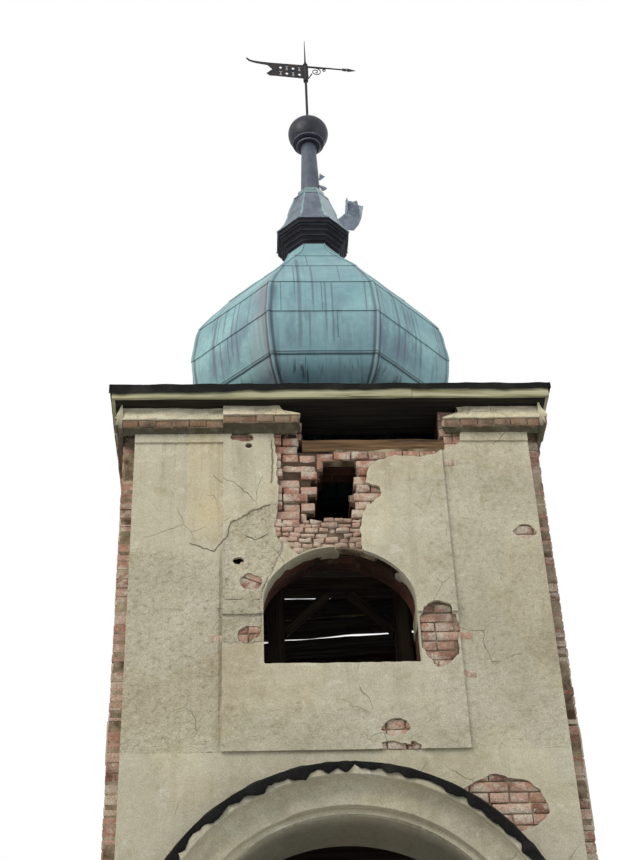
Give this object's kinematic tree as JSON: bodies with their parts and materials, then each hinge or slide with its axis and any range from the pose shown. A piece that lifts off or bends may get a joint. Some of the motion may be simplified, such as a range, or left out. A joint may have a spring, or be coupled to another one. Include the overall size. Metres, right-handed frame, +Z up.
{
  "type": "bell tower",
  "caption": "Ruined square bell tower over an arched gateway: plastered brick, open bell storey, onion dome with spirelet, ball and a turning weather vane.",
  "frame": {"origin": "centre of the footprint on the ground", "axes": "+Z up; -Y is the front, with the broken cornice; +X to the right seen from the front"},
  "size_m": [3.3904, 3.37, 14.942],
  "materials": {
    "brick": "old red brick in lime mortar, patchy plaster",
    "plaster": "weathered lime plaster over brick",
    "cornice": "weathered plaster with bare brick at the breaks",
    "old_timber": "dark weathered oak",
    "eaves_board": "weathered board with old yellow-green paint",
    "felt": "matt bituminous felt",
    "copper_patina": "green copper patina with dark runs",
    "dark_copper": "dark grey-green copper sheet",
    "black_moulding": "blackened moulded timber",
    "ironwork": "black forged iron and sheet"
  },
  "bodies": {
    "tower": {"base_front_wall": "plaster", "base_rear_wall": "plaster", "base_left_wall": "brick", "base_right_wall": "brick", "portal_hoods": "plaster", "hood_felt": "felt", "floor_joists": "old_timber", "floor_boards": "old_timber", "bell_front_wall": "plaster", "bell_rear_wall": "plaster", "bell_left_wall": "brick", "bell_right_wall": "brick", "impost_bands": "plaster", "frieze_band": "plaster", "cornice_front_left": "cornice", "cornice_front_right": "cornice", "cornice_left": "cornice", "cornice_right": "cornice", "cornice_rear": "cornice", "front_wall_plate": "old_timber", "inner_posts": "old_timber", "tie_beam": "old_timber", "braces": "old_timber", "eaves_soffit": "old_timber", "fascia_boards": "eaves_board", "roof_trimmer": "old_timber", "roof_rafters": "old_timber", "roof_felt_front": "felt", "roof_felt_left": "felt", "roof_felt_right": "felt", "roof_boards_rear": "old_timber", "roof_deck": "felt", "dome_curb": "old_timber", "dome_shell": "copper_patina", "lantern_cornice": "black_moulding", "spire_skirt": "dark_copper", "torn_flap": "dark_copper", "neck_collar": "dark_copper", "spire_column": "dark_copper", "ball": "dark_copper", "rod": "ironwork"},
    "vane": {"vane_hub": "ironwork", "vane_flag": "ironwork", "vane_arrow": "ironwork", "vane_scroll": "ironwork"}
  },
  "joints": [
    {"name": "vane_turn", "type": "hinge", "parent": "tower", "child": "vane", "pos_m": [0, 0, 14.3], "axis": [0, 0, 1], "continuous": true}
  ]
}
